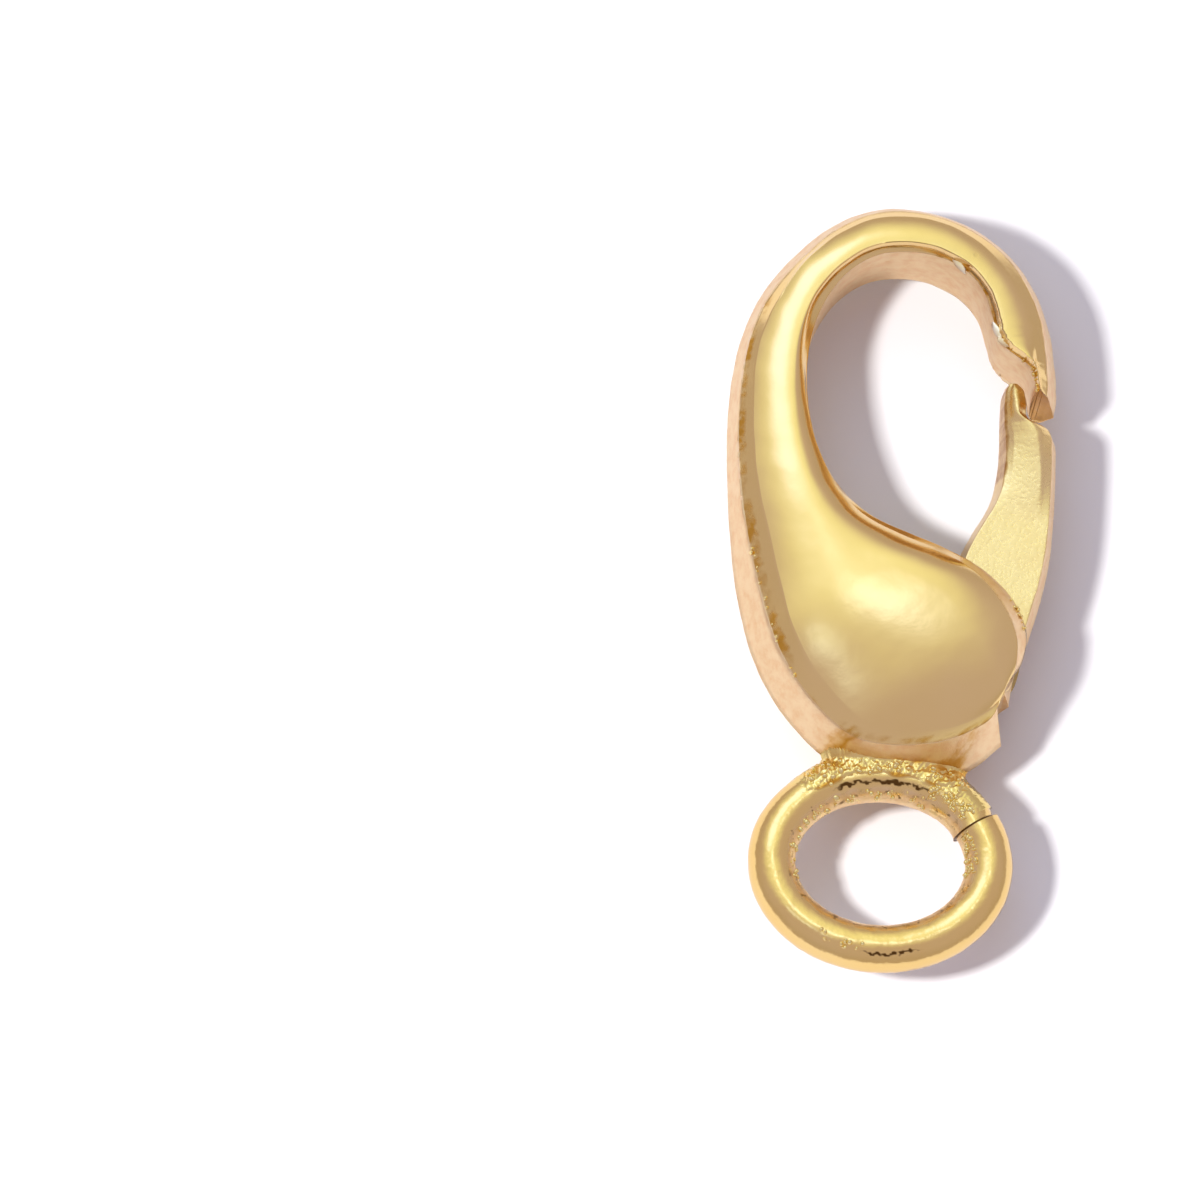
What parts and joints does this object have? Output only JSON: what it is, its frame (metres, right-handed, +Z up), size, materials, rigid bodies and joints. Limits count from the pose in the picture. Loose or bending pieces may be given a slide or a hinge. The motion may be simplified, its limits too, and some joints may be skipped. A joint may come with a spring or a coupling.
{
  "type": "lobster clasp",
  "caption": "Oval gold-plated lobster clasp with a sprung lever gate across its hook opening and an oval ring soldered to its foot, to close a necklace or bracelet.",
  "frame": {"origin": "middle of the footprint, on the surface that the clasp lies on", "axes": "+Y from the soldered ring to the top of the arch, +X across from the arm to the gate, +Z up from the surface through the thickness"},
  "size_m": [0.0108, 0.0258, 0.005],
  "materials": {
    "gold_body": "polished gold plating",
    "gold_gate": "polished gold plating, slightly grained",
    "pin_steel": "plain drawn wire",
    "spring_steel": "blued spring strip"
  },
  "bodies": {
    "body": {"clasp_body": "gold_body", "pivot_pin": "pin_steel", "gate_spring": "spring_steel"},
    "gate": {"gate": "gold_gate"}
  },
  "joints": [
    {"name": "gate_hinge", "type": "hinge", "parent": "body", "child": "gate", "pos_m": [0.00276, -0.00293, 0.0025], "axis": [0, 0, 1], "range_deg": [0, 25], "stiffness_Nm_per_rad": 0.02, "springref_deg": -5.73, "deforming": ["gate_spring"]}
  ]
}
